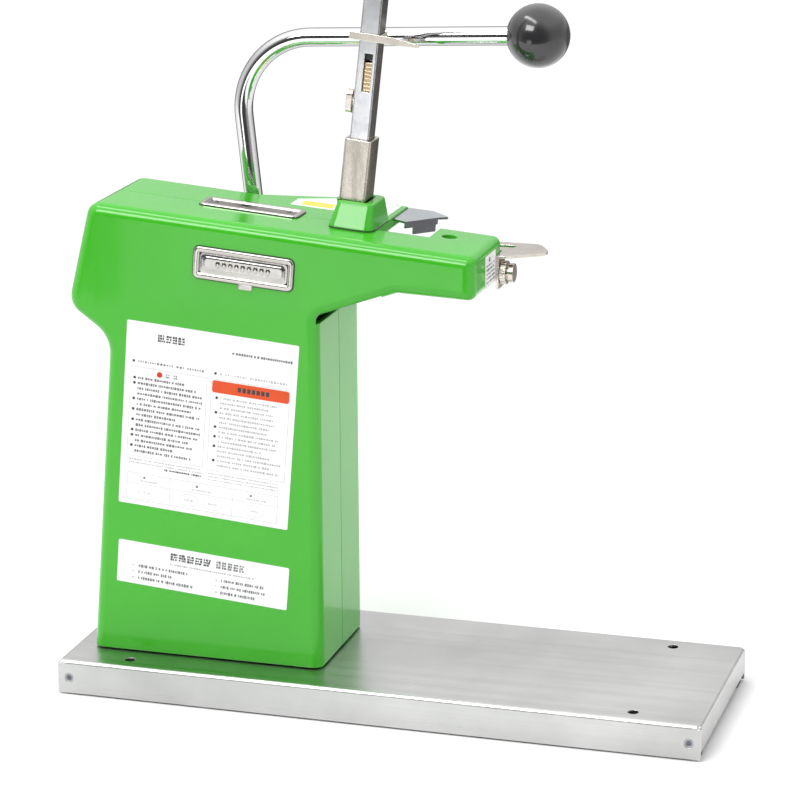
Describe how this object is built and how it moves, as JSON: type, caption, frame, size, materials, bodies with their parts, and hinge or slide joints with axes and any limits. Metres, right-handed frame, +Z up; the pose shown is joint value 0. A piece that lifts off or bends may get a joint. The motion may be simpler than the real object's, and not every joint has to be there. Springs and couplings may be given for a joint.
{
  "type": "bench bag-neck clip sealing machine",
  "caption": "Hand lever bench machine that closes a bag neck with a metal clip: green two-part housing on a steel tray base, upright clip magazine, slotted nose and side lever with a ball knob.",
  "frame": {"origin": "centre of the base tray, on the surface the feet stand on", "axes": "+X from the column towards the nose, +Y towards the lever's side, +Z up"},
  "size_m": [0.42, 0.15, 0.5325],
  "materials": {
    "brushed_sheet": "brushed along the length",
    "rubber": "matt",
    "screws": "zinc plated",
    "frame_steel": "blued steel",
    "green_paint": "glossy enamel",
    "label_film": "printed film",
    "badge_chrome": "bright plated",
    "badge_plate": "satin",
    "nickel_plate": "nickel plated",
    "clips": "bare wire",
    "pusher_plastic": "moulded",
    "polished_rod": "polished",
    "knob_plastic": "polished phenolic",
    "machined_steel": "turned and ground",
    "bronze": "sintered",
    "spring_steel": "drawn wire",
    "grey_sheet": "bead blasted"
  },
  "bodies": {
    "stand": {"base_tray": "brushed_sheet", "tray_screws": "screws", "corner_feet": "rubber", "column_bolts": "screws", "frame_foot": "frame_steel", "frame_near_plate": "frame_steel", "frame_far_plate": "frame_steel", "frame_spacers": "frame_steel", "frame_bolts": "screws", "near_cover": "green_paint", "far_cover": "green_paint", "cover_screws": "screws", "side_label_upper": "label_film", "side_label_lower": "label_film", "top_label": "label_film", "end_label": "label_film", "side_badge_frame": "badge_chrome", "side_badge_plate": "badge_plate", "top_badge_frame": "badge_chrome", "top_badge_plate": "badge_plate", "magazine_boot": "green_paint", "magazine_sleeve": "nickel_plate", "magazine_rail": "nickel_plate", "clip_stick": "clips", "shaft_bushes": "bronze", "clip_guide": "frame_steel", "anvil": "machined_steel", "anvil_screw": "screws", "return_spring": "spring_steel", "spring_anchor": "spring_steel", "rest_bumper": "rubber", "rear_guide_plate": "grey_sheet", "guide_screws": "screws"},
    "lever": {"lever_rod": "polished_rod", "ball_knob": "knob_plastic", "lever_hub": "machined_steel", "hub_screw": "screws", "lever_shaft": "machined_steel", "shaft_nut": "machined_steel", "drive_arm": "frame_steel", "arm_roller": "machined_steel"},
    "ram_slide_body": {"ram": "machined_steel"},
    "stick_pusher": {"clip_pusher": "pusher_plastic", "pusher_band": "nickel_plate"},
    "catch": {"rail_catch": "nickel_plate"},
    "front_guide": {"front_guide_plate": "nickel_plate"},
    "guide_screw": {"thumb_screw": "nickel_plate"}
  },
  "joints": [
    {"name": "lever_swing", "type": "hinge", "parent": "stand", "child": "lever", "pos_m": [-0.1126, 0, 0.267], "axis": [0, 1, 0], "range_deg": [0, 42], "stiffness_Nm_per_rad": 2, "springref_deg": -28.65, "deforming": ["return_spring"]},
    {"name": "ram_travel", "type": "slide", "parent": "stand", "child": "ram_slide_body", "axis": [0.9966, 0, -0.0819], "range_m": [0, 0.0216]},
    {"name": "pusher_lift", "type": "slide", "parent": "stand", "child": "stick_pusher", "axis": [0.1115, 0, 0.9938], "range_m": [0, 0.09]},
    {"name": "catch_pull", "type": "slide", "parent": "stand", "child": "catch", "axis": [-0.9938, 0, 0.1115], "range_m": [0, 0.003], "stiffness_N_per_m": 400, "springref_m": -0.001},
    {"name": "front_guide_height", "type": "slide", "parent": "stand", "child": "front_guide", "axis": [0, 0, 1], "range_m": [-0.003, 0.003]},
    {"name": "thumb_screw_turn", "type": "hinge", "parent": "stand", "child": "guide_screw", "pos_m": [0.0593, 0.015, 0.276], "axis": [1, 0, 0], "continuous": true}
  ],
  "couplings": [
    {"joint": "ram_travel", "follows": "lever_swing", "m_per_rad": 0.029333}
  ]
}
